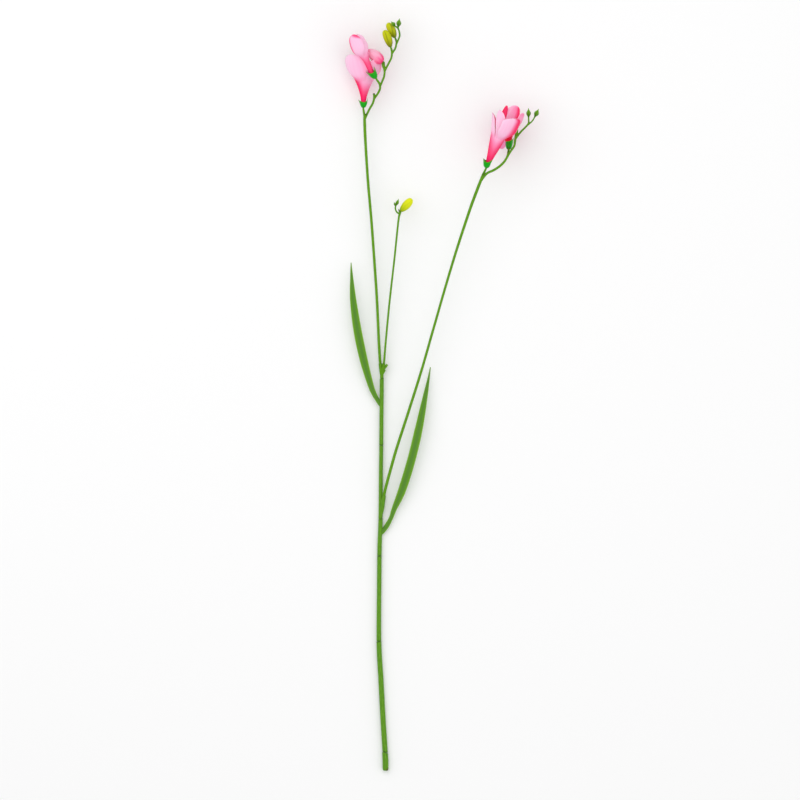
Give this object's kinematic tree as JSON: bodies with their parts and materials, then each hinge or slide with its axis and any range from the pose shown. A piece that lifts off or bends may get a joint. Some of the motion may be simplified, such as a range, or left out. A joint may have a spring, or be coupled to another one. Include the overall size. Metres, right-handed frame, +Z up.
{
  "type": "freesia stem",
  "caption": "Cut artificial freesia stem lying flat: a jointed green trunk with sword-shaped leaves, slender branches, pink funnel flowers in green cups and yellow-green buds.",
  "frame": {"origin": "on the surface that the stem lies on, under the middle of the whole stem's outline", "axes": "+Y along the stem from its cut end to the flower heads, +X to its right seen from above, +Z up from the surface"},
  "size_m": [0.1437, 0.5643, 0.0455],
  "materials": {
    "stem_green": "satin moulded stem, lengthwise ribs",
    "leaf_green": "satin, parallel veins",
    "cup_green": "smooth moulded, slightly glossy",
    "petal_pink": "soft matte petal, airbrushed pink",
    "bud_pink": "matte, airbrushed pink",
    "bud_yellow_green": "matte, airbrushed yellow-green",
    "bud_yellow": "matte, airbrushed yellow",
    "stamen_cream": "matte, powdery anthers"
  },
  "bodies": {
    "root": {"stem_end_sleeve": "stem_green", "stem_lower": "stem_green", "stem_middle": "stem_green", "stem_leaf_joint": "stem_green", "stem_branch_joint": "stem_green", "stem_upper": "stem_green", "stem_fork": "stem_green", "top_branch": "stem_green", "middle_branch": "stem_green", "right_branch": "stem_green", "left_leaf": "leaf_green", "right_leaf": "leaf_green", "top_pink_bud": "bud_pink", "top_lower_bud": "bud_yellow_green", "top_upper_bud": "bud_yellow_green", "middle_bud": "bud_yellow", "top_open_calyx": "cup_green", "top_open_petals": "petal_pink", "top_closed_calyx": "cup_green", "top_closed_petals": "petal_pink", "right_front_calyx": "cup_green", "right_front_petals": "petal_pink", "right_back_calyx": "cup_green", "right_back_petals": "petal_pink", "top_open_stamens": "stamen_cream", "right_front_stamens": "stamen_cream", "right_back_stamens": "stamen_cream"}
  },
  "joints": []
}
